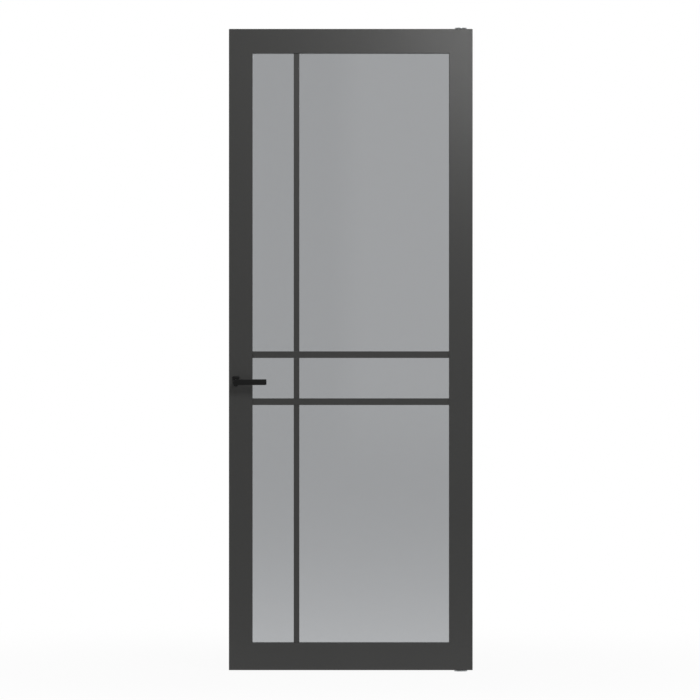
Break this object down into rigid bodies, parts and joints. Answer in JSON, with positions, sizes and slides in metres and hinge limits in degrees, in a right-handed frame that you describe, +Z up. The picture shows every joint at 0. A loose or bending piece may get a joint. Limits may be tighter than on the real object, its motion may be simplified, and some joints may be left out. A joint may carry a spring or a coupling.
{
  "type": "glass door",
  "caption": "Interior door leaf with a slim dark painted frame, a smoked glass pane, narrow glazing bars on both faces, black levers, a magnetic latch lock and concealed pivots.",
  "frame": {"origin": "middle of the leaf's bottom edge, half way through its thickness", "axes": "+X towards the pivot side, -Y towards the viewer of the front face, +Y to the side the lock edge swings to, +Z up"},
  "size_m": [0.88, 0.14, 2.325],
  "materials": {
    "frame_paint": "satin",
    "smoked_glass": "polished",
    "black_metal": "satin",
    "zinc_steel": "satin",
    "spring_steel": "polished",
    "tape": "matte",
    "dowel_wood": "matte",
    "nylon": "matte"
  },
  "bodies": {
    "fixed_pivots": {"floor_pivot": "zinc_steel", "pivot_bearing": "spring_steel", "head_plate": "zinc_steel"},
    "leaf": {"lock_stile": "frame_paint", "pivot_stile": "frame_paint", "top_rail": "frame_paint", "bottom_rail": "frame_paint", "left_bead": "frame_paint", "right_bead": "frame_paint", "top_bead": "frame_paint", "bottom_bead": "frame_paint", "front_upper_bar": "frame_paint", "front_lower_bar": "frame_paint", "front_upright_top": "frame_paint", "front_upright_middle": "frame_paint", "front_upright_bottom": "frame_paint", "back_upper_bar": "frame_paint", "back_lower_bar": "frame_paint", "back_upright_top": "frame_paint", "back_upright_middle": "frame_paint", "back_upright_bottom": "frame_paint", "front_glazing_tape": "tape", "back_glazing_tape": "tape", "front_bond_tape": "tape", "back_bond_tape": "tape", "setting_blocks": "tape", "corner_dowels": "dowel_wood", "glass_pane": "smoked_glass", "lock_case": "zinc_steel", "lock_cover": "zinc_steel", "case_rivets": "zinc_steel", "front_rose_base": "zinc_steel", "back_rose_base": "zinc_steel", "rose_screws": "zinc_steel", "bead_pins": "zinc_steel", "bottom_shoe": "zinc_steel", "top_shoe": "zinc_steel", "top_pin": "zinc_steel", "shoe_screws": "zinc_steel", "latch_spring": "spring_steel", "return_spring": "spring_steel", "front_rose": "black_metal", "back_rose": "black_metal", "faceplate": "black_metal", "faceplate_screws": "black_metal", "rose_bushes": "nylon"},
    "handle": {"front_lever": "black_metal", "back_lever": "black_metal", "spindle": "zinc_steel", "follower": "zinc_steel", "grub_screws": "zinc_steel"},
    "latch": {"latch_bolt": "zinc_steel", "latch_magnet": "spring_steel"}
  },
  "joints": [
    {"name": "door_swing", "type": "hinge", "parent": "fixed_pivots", "child": "leaf", "pos_m": [0.3975, 0, 1.1575], "axis": [0, 0, -1], "range_deg": [0, 110]},
    {"name": "lever_turn", "type": "hinge", "parent": "leaf", "child": "handle", "pos_m": [-0.415, 0, 1.0425], "axis": [0, 1, 0], "range_deg": [0, 35], "stiffness_Nm_per_rad": 1.5, "springref_deg": -22.92, "deforming": ["return_spring"]},
    {"name": "latch_slide", "type": "slide", "parent": "leaf", "child": "latch", "axis": [1, 0, 0], "range_m": [-0.011, 0], "stiffness_N_per_m": 30, "springref_m": 0.01, "deforming": ["latch_spring"]}
  ]
}
